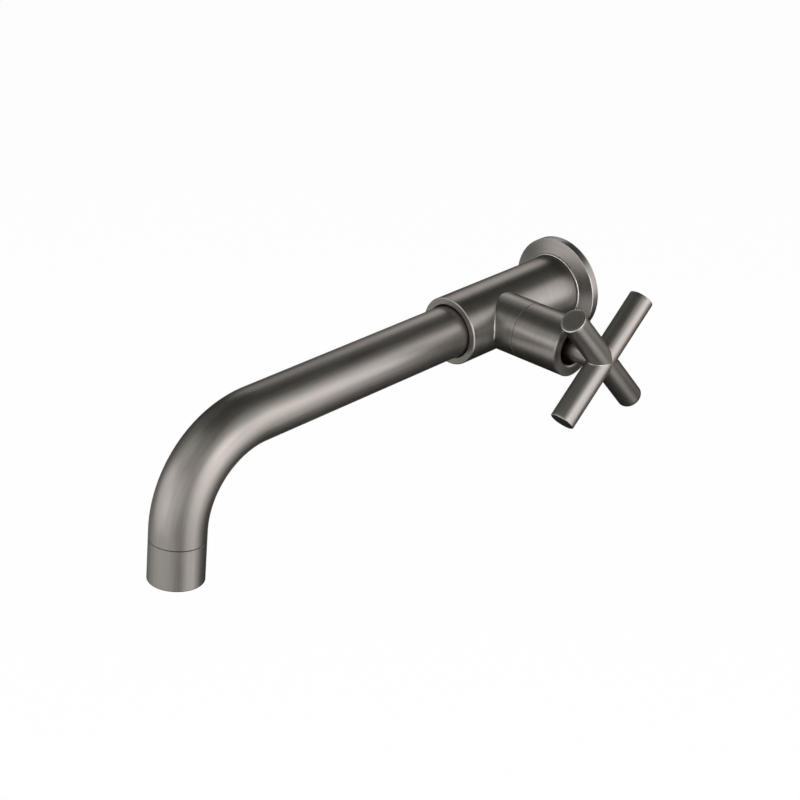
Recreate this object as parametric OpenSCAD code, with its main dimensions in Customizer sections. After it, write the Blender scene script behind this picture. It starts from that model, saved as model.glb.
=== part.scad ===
// Wall-mounted basin tap: a long bent spout on a tee-shaped body, opened by a
// cross handle on a quarter-turn ceramic valve in the body's side branch.
//
// The origin is on the wall, in the middle of the inlet. +Z is up, the tap stands out
// along -Y, and the valve branch points along +X. All sizes are in millimetres.

/* [Body] */
// Outer diameter of the body's barrel
barrel_d = 33.5; // [33:0.25:36]
// Distance from the wall to the barrel's front face
barrel_reach = 80.5; // [80:0.5:95]
// Distance from the wall to the barrel's rear end, inside the flange
barrel_back = 2.5; // [2:0.1:2.8]
// Rounding of the barrel's front edge
barrel_round = 0.6; // [0.4:0.1:1.6]
// Distance from the wall to the axis of the valve branch
branch_out = 52.5; // [50:0.5:54]
// Outer diameter of the branch, and of the sleeve that carries it on
branch_d = 28; // [27:0.5:30]
// Distance from the barrel's axis to the seam where the sleeve begins
branch_reach = 27.5; // [26:0.5:32]

/* [Wall flange] */
// Outer diameter of the cover flange
flange_d = 50; // [49:0.5:70]
// Height of the flange's straight rim
flange_rim_h = 4; // [3.6:0.1:4.6]
// Distance from the wall to the flange's front, where it meets the barrel
flange_h = 6.5; // [6.1:0.1:7.5]
// Wall thickness of the flange's rim
flange_wall = 1.5; // [1:0.1:2]
// Gap between the flange's bore and the barrel
flange_gap = 0.1; // [0.05:0.05:0.2]

/* [Inlet nipple] */
// Outer diameter of the half-inch pipe thread
inlet_thread_d = 20.955; // [20.9:0.005:21]
// Length of thread that stands into the wall
inlet_reach = 11.5; // [10:0.5:30]
// Length of thread that is screwed into the body
inlet_grip = 13; // [10:0.5:16]
// Depth of the hexagon socket in the nipple
inlet_key_depth = 8; // [5:0.5:12]
// Diameter of the nipple's water way
inlet_bore_d = 13; // [10:0.5:14]
// Width across flats of the hexagon socket in the nipple
inlet_key_af = 12; // [10:0.5:13]

/* [Spout] */
// Outer diameter of the spout tube
spout_d = 25.4; // [24:0.1:26]
// Wall thickness of the spout tube
spout_wall = 1.5; // [1:0.1:2]
// Gap between the spout tube and the body's mouth
spout_gap = 0.45; // [0.3:0.05:0.6]
// Distance from the wall to the start of the bend
bend_start = 201.5; // [150:0.5:260]
// Radius of the bend at the middle of the tube
bend_r = 45; // [35:0.5:60]
// Angle that the spout turns through
bend_angle = 83; // [75:1:95]
// Length of the straight ring between the bend and the collar's seam
tail_len = 4; // [3.6:0.1:30]
// Length of the collar at the outlet
collar_len = 19.5; // [18:0.5:26]
// Depth of the body's mouth that the tube sits in
mouth_depth = 10.5; // [9:0.5:11]
// Diameter of the spigot that seals the spout in the body
spigot_d = 20.2; // [19:0.1:21]

/* [Cross handle] */
// Distance from the barrel's axis to the middle of the cross
cross_out = 71; // [70:0.5:85]
// Diameter of the arms
arm_d = 12; // [10:0.5:14]
// Length of an arm from the middle of the cross to its end
arm_len = 35; // [28:0.5:45]
// Diameter of the handle's neck
neck_d = 11.5; // [11:0.25:13]
// Angle between the first arm and the horizontal when the tap is closed
arm_angle = 50; // [0:1:90]
// Chamfer around the end of each arm
arm_chamfer = 0.5; // [0.2:0.1:1]

/* [Valve sleeve] */
// Distance from the barrel's axis to the sleeve's open end
sleeve_reach = 54; // [52:0.5:56]
// Wall thickness of the sleeve
sleeve_wall = 1.75; // [1.2:0.05:2]
// Thickness of the sleeve's end wall
sleeve_end = 3; // [2:0.5:4]
// Diameter of the opening around the handle's neck
sleeve_mouth_d = 17.6; // [15:0.1:20]

/* [Quarter-turn valve] */
// Outer diameter of the thread that holds the valve in the branch
valve_thread_d = 20.955; // [20.9:0.005:21]
// Diameter of the ceramic discs
disc_d = 16.4; // [15:0.1:16.8]
// Thickness of each ceramic disc
disc_h = 3; // [2.5:0.1:3.2]
// Diameter of the spindle's shaft
spindle_d = 9; // [8:0.1:9.4]
// Diameter over the spindle's splines
spline_d = 7.8; // [7:0.1:8]
// Number of splines on the spindle
spline_count = 20; // [12:1:24]
// Wall thickness of the valve cage around the discs
cage_wall = 0.9; // [0.7:0.1:1]

/* [Clearances] */
// Radial gap of a screwed joint, whose threads aren't drawn
thread_gap = 0.05; // [0.03:0.01:0.1]
// Radial gap between parts that turn on each other
running_gap = 0.1; // [0.05:0.01:0.15]
// Axial gap between faces that slide on each other
face_gap = 0.05; // [0.02:0.01:0.1]

/* [Hidden] */
$fn = 96;
tiny = 0.01;

// Width of the grooves for the rings
ring_groove_w = 1.8;

// Water ways inside the body
socket_depth = inlet_grip + 1;
rear_way_d = 15;
front_way_d = 15;
cage_gap = 0.1;
cage_bore_d = disc_d + 2 * cage_gap;
cage_d = cage_bore_d + 2 * cage_wall;
chamber_gap = 0.4;
chamber_d = cage_d + 2 * chamber_gap;
chamber_end = 4;
seat_x = -2.5;
seat_hole_d = 12;
duct_d = 9;
duct_x = seat_x - 2.5 - duct_d / 2;
rear_way_end = branch_out - chamber_d / 2 - chamber_end;
duct_lap = 7;
front_way_start = branch_out + seat_hole_d / 2 + 2;

// Nipple
inlet_thread_depth = 1.18;
nipple_relief_d = inlet_thread_d - 2 * inlet_thread_depth;
nipple_relief_w = 2;
nipple_relief_at = barrel_back - 0.3;
nipple_back = nipple_relief_at + nipple_relief_w;
nipple_ring_r = 0.57;

// Flange
flange_plate_h = 2;
flange_lip_w = 1.05;
flange_lip_r = barrel_d / 2 + flange_lip_w;
flange_lip_step = 0.7;
flange_lip_chamfer = 0.15;
flange_groove_deep = 1.45;
flange_ring_gap = 0.03;
flange_groove_d = barrel_d + 2 * flange_groove_deep;
gasket_gap = 0.1;
gasket_w = 4.65;
gasket_d = flange_d - 2 * flange_wall - 2 * gasket_gap;

// Screw neck of the branch, which carries the sleeve and the valve
neck_len = 5.5;
branch_neck_d = branch_d - 2 * sleeve_wall - 2 * thread_gap;
neck_end = branch_reach + neck_len;
neck_groove_at = branch_reach + 1.9;
neck_groove_deep = 0.8;
neck_ring_r = 0.38;
valve_thread_len = 11;
washer_h = 1;
washer_inset = 0.3;
valve_hex_inset = 2.7;
valve_hex_af = branch_neck_d - 2 * valve_hex_inset;
valve_hex_h = 4;
valve_pilot_d = valve_hex_af - 1;
valve_neck_d = 14;
valve_neck_len = 5;
hex_start = neck_end + washer_h;
valve_top = hex_start + valve_hex_h + valve_neck_len;

// Stack inside the cage, counted from the seat
seal_h = 2.5;
seal_w = 1.6;
seal_bite = 0.9;
fixed_disc_x = seat_x + seal_h;
turning_disc_x = fixed_disc_x + disc_h + face_gap;
bar_x = turning_disc_x + disc_h + face_gap;
bar_h = 3;
bar_w = 5;
lug_h = 1.5;
thrust_x = bar_x + bar_h + face_gap;
thrust_h = 0.8;
shoulder_x = thrust_x + thrust_h + face_gap;
bar_gap = 0.2;
bar_d = disc_d - 2 * bar_gap;
lug_slot_over = 2;
stop_in_d = 13.6;
stop_angle = 45;
window_angle = 84;
port_in_d = 4;
port_out_d = 13.4;
port_angle = 72;
closed_bar_angle = 45;

// Spindle
circlip_h = 0.9;
circlip_x = valve_top + face_gap;
circlip_seat_d = spline_d - 0.5;
circlip_d = 12.4;
circlip_opening = 5;
neck_x = circlip_x + circlip_h + 0.5;
handle_screw_x = (sleeve_reach + cross_out - arm_d / 2) / 2;
handle_screw_d = 4;
handle_key = 2;
handle_screw_sink = 0.2;
handle_key_floor = 0.6;
spindle_end = handle_screw_x + handle_screw_d / 2 + 0.5;
spline_depth = 0.4;
socket_end = spindle_end + 0.8;
o_ring_groove = 1.2;
o_ring_r = 0.56;
o_ring_places = [15, 19];

// Spout fittings
spout_bore_d = spout_d - 2 * spout_wall;
mouth_d = spout_d + 2 * spout_gap;
mouth_bottom = barrel_reach - mouth_depth;
spigot_flange_h = 1;
spigot_lap = 10;
spigot_len = 6.5;
spigot_bore_d = 14;
spigot_groove = 1.2;
spigot_ring_r = 0.58;
spigot_ring_places = [1.8, 4.8];
tube_start = mouth_bottom + spigot_flange_h;
grub_d = 5;
grub_from_tube_end = 4.5;
grub_at = tube_start + grub_from_tube_end;
grub_key = 2.5;
grub_sink = 0.6;
grub_key_depth = 1.6;

// Outlet
collar_neck_len = 3.4;
collar_neck_d = spout_bore_d - 2 * thread_gap;
collar_groove_d = spout_bore_d - 2;
collar_groove_w = 1.4;
collar_ring_mid_d = spout_bore_d - 1.1;
collar_ring_r = 0.44;
collar_wall = 1.9;
collar_bore_d = spout_d - 2 * collar_wall;
aerator_room = 10.5;
collar_shoulder = collar_len - aerator_room;
collar_lip_w = 1.6;
collar_lip_d = collar_bore_d - 2 * collar_lip_w;
outlet_round = 0.6;
washer_seat = collar_shoulder;
aerator_washer_h = 1;
insert_start = washer_seat + aerator_washer_h;
insert_recess = 0.7;
insert_wall = 1.4;
insert_ledge_h = 1.2;
insert_slot_w = 3;
insert_slot_h = 1.4;
insert_slot_open = 0.8;
straightener_h = 3;
regulator_h = 2;
regulator_mid_d = 3;
regulator_hole_d = 2.4;
regulator_hole_inset = 3.7;
screen_skin = 0.5;
filter_d = collar_bore_d - 2 * insert_wall - 2 * gasket_gap;
insert_ledge_w = 1;
insert_ledge_d = filter_d - 2 * insert_ledge_w;
straightener_start = tail_len + collar_len - insert_recess - insert_ledge_h - straightener_h;
regulator_start = straightener_start - regulator_h;
screen_start = tail_len + insert_start;
cell_af = 1.9;
cell_wall = 0.5;
cell_rim = 1.5;
cell_rings = floor((filter_d / 2 - cell_rim) / (cell_af + cell_wall));
screen_hole_d = 1.4;
screen_pitch = 2.4;
screen_rim = 1.6;
screen_rings = floor((filter_d / 2 - screen_rim) / screen_pitch);

// Seam chamfer where two polished pieces meet
seam = 0.25;

// Z of the children becomes the way out from the wall.
module out_from_wall() rotate([90, 0, 0]) children();

// Z of the children becomes the way out along the valve branch.
module along_branch() translate([0, -branch_out, 0]) rotate([0, 90, 0]) children();

// Z of the children becomes the way the water leaves, from the end of the bend.
module at_outlet()
    translate([0, -bend_start - bend_r * sin(bend_angle), -bend_r * (1 - cos(bend_angle))])
        rotate([90 + bend_angle, 0, 0]) children();

// Round bar from z0 to z1
module bar(d, z0, z1) translate([0, 0, z0]) cylinder(d = d, h = z1 - z0);

// Round tube from z0 to z1
module tube(d, bore, z0, z1) difference() {
    bar(d, z0, z1);
    bar(bore, z0 - 1, z1 + 1);
}

// Chamfer of width c, cut off the far end of a round bar that ends at z1
module end_chamfer(d, z1, c) translate([0, 0, z1]) rotate_extrude()
    polygon([[d / 2 + c, -2 * c], [d / 2 + c, c], [d / 2 - 2 * c, c]]);

// Ring of round section about the Z axis
module o_ring(mid_d, section_r, z) translate([0, 0, z]) rotate_extrude()
    translate([mid_d / 2, 0]) circle(section_r, $fn = 32);

// Groove of square section, cut into a shaft down to floor_d
module ring_groove(d, floor_d, width, z) translate([0, 0, z - width / 2]) difference() {
    cylinder(d = d + 2, h = width);
    translate([0, 0, -1]) cylinder(d = floor_d, h = width + 2);
}

// Hexagonal prism of a given width across flats
module hexagon(af, z0, z1) translate([0, 0, z0])
    cylinder(d = af / cos(30), h = z1 - z0, $fn = 6);

// Flat wedge from the axis outwards, centred on an angle
module wedge(angle, centre, reach) polygon([[0, 0],
    for (turn = [-angle / 2, 0, angle / 2])
        reach * [cos(centre + turn), sin(centre + turn)]]);

// Outline of the splined shaft, whose gap widens it for the socket
module spline_outline(gap) polygon([for (tooth = [0 : spline_count - 1], edge = [0 : 3])
    let (
        turn = (tooth + [0.05, 0.25, 0.55, 0.75][edge]) * 360 / spline_count,
        depth = edge == 1 || edge == 2 ? 0 : spline_depth
    )
    (spline_d / 2 - depth + gap) * [cos(turn), sin(turn)]]);

// Solid bar of diameter d that follows the spout from out0 through the bend
module bent_bar(d, out0, turn) {
    out_from_wall() bar(d, out0, bend_start);
    translate([0, -bend_start, -bend_r]) rotate([180, -90, 0])
        rotate_extrude(angle = turn) translate([bend_r, 0]) circle(d = d);
}

// Cast and turned brass body: barrel, branch, valve seat and water ways
module body_tee() color("dimgray") difference() {
    union() {
        out_from_wall() rotate_extrude() {
            translate([0, barrel_back])
                square([barrel_d / 2, barrel_reach - barrel_round - barrel_back]);
            translate([0, barrel_back])
                square([barrel_d / 2 - barrel_round, barrel_reach - barrel_back]);
            translate([barrel_d / 2 - barrel_round, barrel_reach - barrel_round])
                circle(barrel_round);
        }
        along_branch() difference() {
            bar(branch_d, 0, branch_reach);
            end_chamfer(branch_d, branch_reach, seam);
        }
        along_branch() bar(branch_neck_d, 0, neck_end);
    }
    out_from_wall() {
        bar(inlet_thread_d + 2 * thread_gap, barrel_back - 1, nipple_back + socket_depth);
        bar(rear_way_d, barrel_back, rear_way_end);
        bar(front_way_d, front_way_start, mouth_bottom);
        bar(spigot_d + 2 * thread_gap, mouth_bottom - spigot_len - 0.5, barrel_reach);
        bar(mouth_d, mouth_bottom, barrel_reach + 1);
        translate([0, 0, barrel_reach]) rotate_extrude()
            polygon([[0, 0.5], [mouth_d / 2 + 0.9, 0.5], [mouth_d / 2 - 0.5, -0.9], [0, -0.9]]);
    }
    along_branch() {
        bar(chamber_d, seat_x, neck_end);
        bar(valve_thread_d + 2 * thread_gap, neck_end - valve_thread_len - 1, neck_end + 1);
        bar(seat_hole_d, duct_x, seat_x + 1);
        ring_groove(branch_neck_d, branch_neck_d - 2 * neck_groove_deep, ring_groove_w,
            neck_groove_at);
    }
    translate([duct_x, 0, 0]) out_from_wall()
        bar(duct_d, rear_way_end - duct_lap, branch_out + duct_d / 2);
    out_from_wall() translate([0, 0, grub_at]) rotate([90, 0, 0])
        bar(grub_d + 2 * thread_gap, spout_d / 2 - 2, barrel_d);
}

// Dished cover flange that hides the hole in the wall
module wall_flange() color("dimgray") out_from_wall() difference() {
    rotate_extrude() difference() {
        union() {
            square([flange_d / 2, flange_rim_h - 0.4]);
            square([flange_d / 2 - 0.4, flange_rim_h]);
            translate([flange_d / 2 - 0.4, flange_rim_h - 0.4]) circle(0.4);
            polygon([[0, flange_rim_h - tiny], [flange_d / 2 - 0.4, flange_rim_h - tiny],
                [flange_lip_r, flange_h - flange_lip_step],
                [flange_lip_r, flange_h - flange_lip_chamfer],
                [flange_lip_r - flange_lip_chamfer, flange_h], [0, flange_h]]);
        }
        translate([0, -1]) square([flange_d / 2 - flange_wall, 1 + flange_plate_h]);
    }
    bar(barrel_d + 2 * flange_gap, -1, flange_h + 1);
    translate([0, 0, flange_h]) rotate_extrude()
        polygon([[0, 0.5], [barrel_d / 2 + 0.85, 0.5], [barrel_d / 2 - 0.15, -0.5], [0, -0.5]]);
    bar(flange_groove_d, flange_rim_h - ring_groove_w / 2, flange_rim_h + ring_groove_w / 2);
}

// Foam ring that seals the flange to the wall
module flange_gasket() color("black") out_from_wall()
    tube(gasket_d, gasket_d - 2 * gasket_w, 0, flange_plate_h);

// Ring that holds the flange on the barrel
module flange_o_ring() color("black") out_from_wall()
    o_ring(barrel_d + flange_groove_deep, flange_groove_deep / 2 - flange_ring_gap,
        flange_rim_h);

// Threaded inlet nipple with a hexagon socket for its key
module inlet_nipple() color("goldenrod") out_from_wall() difference() {
    bar(inlet_thread_d, -inlet_reach, nipple_back + inlet_grip);
    ring_groove(inlet_thread_d, nipple_relief_d, nipple_relief_w,
        nipple_relief_at + nipple_relief_w / 2);
    bar(inlet_key_af, -inlet_reach - 1, nipple_back + inlet_grip + 1);
    hexagon(inlet_key_af, -inlet_reach - 1, inlet_key_depth - inlet_reach);
    bar(inlet_bore_d, inlet_key_depth - inlet_reach, nipple_back + inlet_grip + 1);
    translate([0, 0, -inlet_reach]) mirror([0, 0, 1]) end_chamfer(inlet_thread_d, 0, 0.8);
}

// Ring in the nipple's relief, which seals it in the body's rear bore
module nipple_o_ring() color("black") out_from_wall()
    o_ring((nipple_relief_d + inlet_thread_d) / 2, nipple_ring_r, nipple_back - nipple_relief_w / 2);

// Bent spout tube
module spout_tube() color("dimgray") difference() {
    bent_bar(spout_d, tube_start, bend_angle);
    bent_bar(spout_bore_d, tube_start - 1, bend_angle + 1);
}

// Straight ring soldered flush on the tube's end, which takes the collar
module outlet_ring() color("dimgray") at_outlet() difference() {
    tube(spout_d, spout_bore_d, 0, tail_len);
    end_chamfer(spout_d, tail_len, seam);
}

// Turned spigot in the tube's rear end, which plugs into the body
module spout_spigot() color("goldenrod") out_from_wall() difference() {
    union() {
        bar(spigot_d, mouth_bottom - spigot_len, mouth_bottom + 0.5);
        bar(spout_d - 0.6, mouth_bottom, tube_start);
        bar(spout_bore_d - 2 * thread_gap, mouth_bottom, tube_start + spigot_lap);
    }
    bar(spigot_bore_d, mouth_bottom - spigot_len - 1, tube_start + spigot_lap + 1);
    for (place = spigot_ring_places)
        ring_groove(spigot_d, spigot_d - 2 * spigot_groove, ring_groove_w,
            mouth_bottom - place);
}

// Two rings that seal the spigot
module spigot_o_rings() color("black") out_from_wall()
    for (place = spigot_ring_places)
        o_ring(spigot_d - spigot_groove, spigot_ring_r, mouth_bottom - place);

// Screw under the barrel that keeps the spout from turning
module spout_grub_screw() color("silver")
    out_from_wall() translate([0, 0, grub_at]) rotate([90, 0, 0]) difference() {
        bar(grub_d, spout_d / 2 + thread_gap, barrel_d / 2 - grub_sink);
        hexagon(grub_key, barrel_d / 2 - grub_sink - grub_key_depth, barrel_d / 2);
    }

// Collar at the outlet, screwed into the tube's end, which houses the aerator
module outlet_collar() color("dimgray") at_outlet() translate([0, 0, tail_len]) difference() {
    union() {
        rotate_extrude() {
            square([spout_d / 2, collar_len - outlet_round]);
            square([spout_d / 2 - outlet_round, collar_len]);
            translate([spout_d / 2 - outlet_round, collar_len - outlet_round])
                circle(outlet_round);
        }
        bar(collar_neck_d, -collar_neck_len, tiny);
    }
    mirror([0, 0, 1]) end_chamfer(spout_d, 0, seam);
    bar(collar_bore_d, collar_shoulder, collar_len + 1);
    bar(collar_lip_d, -collar_neck_len - 1, collar_len);
    ring_groove(collar_neck_d, collar_groove_d, collar_groove_w, -collar_neck_len / 2);
}

// Ring on the collar's neck
module collar_o_ring() color("black") at_outlet() translate([0, 0, tail_len])
    o_ring(collar_ring_mid_d, collar_ring_r, -collar_neck_len / 2);

// Screw-in aerator shell with two key slots in its rim
module aerator_insert() color("gainsboro") at_outlet() translate([0, 0, tail_len])
    difference() {
        bar(collar_bore_d - 2 * thread_gap, insert_start, collar_len - insert_recess);
        bar(collar_bore_d - 2 * insert_wall, insert_start - 1,
            collar_len - insert_recess - insert_ledge_h);
        bar(insert_ledge_d, insert_start, collar_len);
        for (turn = [0, 90]) rotate([0, 0, turn])
            translate([-collar_bore_d, -insert_slot_w / 2,
                collar_len - insert_recess - insert_slot_h + insert_slot_open])
                cube([2 * collar_bore_d, insert_slot_w, insert_slot_h]);
    }

// Flat rubber washer above the aerator
module aerator_washer() color("black") at_outlet() translate([0, 0, tail_len])
    tube(collar_bore_d - 2 * gasket_gap, collar_lip_d, washer_seat, insert_start);

// Honeycomb that straightens the stream
module flow_straightener() color("whitesmoke") at_outlet()
    translate([0, 0, straightener_start])
        linear_extrude(straightener_h) difference() {
            circle(d = filter_d);
            for (column = [-cell_rings : cell_rings], row = [-cell_rings : cell_rings])
                if (abs(column + row) <= cell_rings)
                    translate((cell_af + cell_wall) * [column + row / 2, row * sin(60)])
                        rotate(30) circle(d = cell_af / cos(30), $fn = 6);
        }

// Disc that limits the flow, above the honeycomb
module flow_regulator() color("seagreen") at_outlet() translate([0, 0, regulator_start])
    difference() {
        bar(filter_d, 0, regulator_h);
        for (hole = [0 : 7]) rotate([0, 0, hole * 45])
            translate([filter_d / 2 - regulator_hole_inset, 0])
                bar(regulator_hole_d, -1, regulator_h + 1);
        bar(regulator_mid_d, 1, regulator_h + 1);
    }

// Cup-shaped strainer above the regulator
module inlet_screen() color("whitesmoke") at_outlet() difference() {
    bar(filter_d, screen_start, regulator_start);
    bar(filter_d - 2 * screen_skin, screen_start + screen_skin, regulator_start + 1);
    for (ring = [1 : screen_rings], hole = [1 : 6 * ring])
        rotate([0, 0, hole * 60 / ring]) translate([screen_pitch * ring, 0])
            bar(screen_hole_d, screen_start - 1, screen_start + 1);
}

// Brass valve cage: threaded housing with two windows around the discs
module valve_cage() color("goldenrod") along_branch() difference() {
    union() {
        bar(cage_d, seat_x + seal_bite, neck_end);
        bar(valve_thread_d, neck_end - valve_thread_len, neck_end);
        bar(valve_pilot_d, neck_end - 1, hex_start + tiny);
        hexagon(valve_hex_af, hex_start, hex_start + valve_hex_h);
        bar(valve_neck_d, hex_start, valve_top);
    }
    difference() {
        bar(cage_bore_d, seat_x, shoulder_x);
        for (side = [0, 180]) translate([0, 0, bar_x])
            linear_extrude(shoulder_x - bar_x + 1) difference() {
                wedge(stop_angle, side, disc_d);
                circle(d = stop_in_d);
            }
    }
    bar(spindle_d + 2 * running_gap, 0, valve_top + 1);
    for (side = [90, 270]) translate([0, 0, bar_x - 1])
        linear_extrude(shoulder_x - bar_x) difference() {
            wedge(window_angle, side, 2 * disc_d);
            circle(d = disc_d - 1);
        }
}

// Sealing washer under the cage's hexagon
module valve_washer() color("firebrick") along_branch()
    tube(branch_neck_d - 2 * washer_inset, valve_pilot_d + 2 * thread_gap, neck_end, hex_start);

// Rubber ring between the fixed disc and the seat in the body
module seat_seal() color("black") along_branch()
    tube(disc_d, disc_d - 2 * seal_w, seat_x, seat_x + seal_h);

// Ceramic disc with two sector ports; the ports face the given angle
module ported_disc(port_centre) difference() {
    cylinder(d = disc_d, h = disc_h);
    for (side = [0, 180]) translate([0, 0, -1]) linear_extrude(disc_h + 2)
        intersection() {
            wedge(port_angle, port_centre + side, disc_d);
            difference() {
                circle(d = port_out_d);
                circle(d = port_in_d);
            }
        }
}

// Lower disc, which stays still
module fixed_disc() color("white") along_branch() translate([0, 0, fixed_disc_x])
    ported_disc(closed_bar_angle);

// Upper disc, which the spindle turns
module turning_disc() color("white") along_branch() translate([0, 0, turning_disc_x])
    difference() {
        ported_disc(closed_bar_angle + 90);
        translate([0, 0, disc_h - lug_h - face_gap]) rotate([0, 0, closed_bar_angle])
            linear_extrude(lug_h + 1)
                square([bar_d + 2 * lug_slot_over, bar_w + 2 * running_gap], center = true);
    }

// Spindle: drive bar, shaft with ring grooves, and splines for the handle
module spindle() color("goldenrod") along_branch() difference() {
    union() {
        intersection() {
            bar(bar_d, bar_x - lug_h, bar_x + bar_h);
            rotate([0, 0, closed_bar_angle]) translate([0, 0, bar_x - lug_h])
                linear_extrude(lug_h + bar_h) square([bar_d + 2, bar_w], center = true);
        }
        bar(spindle_d, bar_x, circlip_x);
        bar(circlip_seat_d, circlip_x - tiny, neck_x);
        translate([0, 0, neck_x - tiny]) linear_extrude(spindle_end - neck_x + tiny)
            spline_outline(0);
    }
    for (place = o_ring_places)
        ring_groove(spindle_d, spindle_d - 2 * o_ring_groove, ring_groove_w, place);
    end_chamfer(spline_d, spindle_end, spline_depth + 0.15);
}

// Two rings that seal the spindle in the cage
module spindle_o_rings() color("black") along_branch()
    for (place = o_ring_places) o_ring(spindle_d - o_ring_groove, o_ring_r, place);

// Low-friction washer between the drive bar and the cage's shoulder
module thrust_washer() color("whitesmoke") along_branch()
    tube(stop_in_d - 0.2, spindle_d + 2 * running_gap, thrust_x, thrust_x + thrust_h);

// Spring clip on top of the cage that keeps the spindle in
module spindle_circlip() color("silver") along_branch() difference() {
    tube(circlip_d, circlip_seat_d + 2 * thread_gap, circlip_x, circlip_x + circlip_h);
    translate([0, -circlip_opening / 2, circlip_x - 1]) cube([circlip_d, circlip_opening, 3]);
}

// Polished sleeve over the valve, screwed onto the branch's neck
module valve_sleeve() color("dimgray") along_branch() difference() {
    bar(branch_d, branch_reach, sleeve_reach);
    bar(branch_d - 2 * sleeve_wall, branch_reach - 1, sleeve_reach - sleeve_end);
    bar(sleeve_mouth_d, branch_reach, sleeve_reach + 1);
    translate([0, 0, branch_reach]) mirror([0, 0, 1]) end_chamfer(branch_d, 0, seam);
    end_chamfer(branch_d, sleeve_reach, 0.5);
    translate([0, 0, sleeve_reach]) rotate_extrude()
        polygon([[0, 0.5], [sleeve_mouth_d / 2 + 1.1, 0.5], [sleeve_mouth_d / 2 - 0.5, -1.1],
            [0, -1.1]]);
}

// Ring in the neck's groove that keeps the sleeve from working loose
module sleeve_o_ring() color("black") along_branch()
    o_ring(branch_neck_d - neck_groove_deep, neck_ring_r, neck_groove_at);

// One chamfered rod through the middle of the cross
module cross_rod(turn) along_branch() translate([0, 0, cross_out]) rotate([0, 0, turn])
    rotate([0, 90, 0]) difference() {
        bar(arm_d, -arm_len, arm_len);
        end_chamfer(arm_d, arm_len, arm_chamfer);
        mirror([0, 0, 1]) end_chamfer(arm_d, arm_len, arm_chamfer);
    }

// Cross handle with its splined neck
module cross_handle() color("dimgray") difference() {
    union() {
        for (turn = [0, 90]) cross_rod(turn - arm_angle);
        along_branch() bar(neck_d, neck_x, cross_out);
    }
    along_branch() translate([0, 0, neck_x - 1]) linear_extrude(socket_end - neck_x + 1)
        spline_outline(thread_gap);
    along_branch() translate([0, 0, handle_screw_x]) rotate([0, 90, 0])
        bar(handle_screw_d + 2 * thread_gap, 0, neck_d);
}

// Screw in the neck that clamps the handle on the spindle
module handle_grub_screw() color("silver") along_branch()
    translate([0, 0, handle_screw_x]) rotate([0, 90, 0]) difference() {
        bar(handle_screw_d, spline_d / 2 + thread_gap, neck_d / 2 - handle_screw_sink);
        hexagon(handle_key, spline_d / 2 + handle_key_floor, neck_d);
    }

body_tee();
wall_flange();
flange_gasket();
flange_o_ring();
inlet_nipple();
nipple_o_ring();
spout_tube();
spout_spigot();
spigot_o_rings();
spout_grub_screw();
outlet_ring();
outlet_collar();
collar_o_ring();
aerator_insert();
aerator_washer();
inlet_screen();
flow_regulator();
flow_straightener();
valve_cage();
valve_washer();
seat_seal();
fixed_disc();
turning_disc();
spindle();
spindle_o_rings();
thrust_washer();
spindle_circlip();
valve_sleeve();
sleeve_o_ring();
cross_handle();
handle_grub_screw();
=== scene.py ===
# %% [markdown]
# # A wall-mounted basin tap in satin gunmetal
# The tap's solids come from CAD as a fixed frame, in metres: +Z is up, the wall is the
# plane y = 0, the spout stands out along -Y and the valve branch along +X. This script
# dresses them. It gives every piece the surface that its real material has, works out
# the spout, the cross handle, the flange, the inlet thread and the blend between barrel
# and branch as surfaces of two parameters, and sets up a small photo studio around them.

# %% Load the frame
import math

import bmesh
import bpy
import numpy as np
from mathutils import Matrix, Vector


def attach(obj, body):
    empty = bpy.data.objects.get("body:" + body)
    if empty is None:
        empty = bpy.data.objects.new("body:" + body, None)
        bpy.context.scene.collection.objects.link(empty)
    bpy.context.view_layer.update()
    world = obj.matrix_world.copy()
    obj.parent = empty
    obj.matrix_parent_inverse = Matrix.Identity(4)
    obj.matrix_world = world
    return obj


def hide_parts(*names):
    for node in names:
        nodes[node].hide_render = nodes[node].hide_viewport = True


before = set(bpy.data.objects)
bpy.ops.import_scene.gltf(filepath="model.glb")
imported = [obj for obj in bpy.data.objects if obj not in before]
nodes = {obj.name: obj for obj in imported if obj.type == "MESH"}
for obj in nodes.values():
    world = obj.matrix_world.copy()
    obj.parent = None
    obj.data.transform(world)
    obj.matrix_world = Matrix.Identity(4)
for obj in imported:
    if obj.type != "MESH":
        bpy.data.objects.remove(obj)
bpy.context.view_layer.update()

# %% [markdown]
# ## Camera
# The photo was taken from the front right and from above, with a long lens, so the
# tap's parallel edges stay nearly parallel. A camera could be placed by eye, but its
# turn, height and focal length were worked out from the photo's outlines, so here it
# is set by those numbers: a direction, a distance, and where the wall's middle lands,
# in pixels right of and above the middle of the picture.

# %% Camera at the photo's angle
turn, height = math.radians(45.44), math.radians(27.125)
photo_px, focal_px, distance = 800, 1747.86, 0.8823
right_px, up_px = 159.596, 115.863
sensor_mm = 36

back = np.array([math.sin(turn) * math.cos(height),
                 -math.cos(turn) * math.cos(height), math.sin(height)])
right = np.array([math.cos(turn), math.sin(turn), 0.0])
up = np.cross(back, right)
place = back * distance - (right * right_px + up * up_px) * distance / focal_px


def put(name, data):
    """A new object in the scene, at the origin."""
    made = bpy.data.objects.new(name, data)
    bpy.context.scene.collection.objects.link(made)
    return made


camera = put("camera", bpy.data.cameras.new("camera"))
camera.data.sensor_width = sensor_mm
camera.data.lens = sensor_mm * focal_px / photo_px
camera.data.clip_start = 0.01
camera.matrix_world = Matrix([[*row, at] for row, at in
                              zip(np.stack([right, up, back], 1), place)] + [[0, 0, 0, 1]])
bpy.context.scene.camera = camera
print("camera at", np.round(place, 4), "with a lens of", round(camera.data.lens, 2), "mm")

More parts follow.
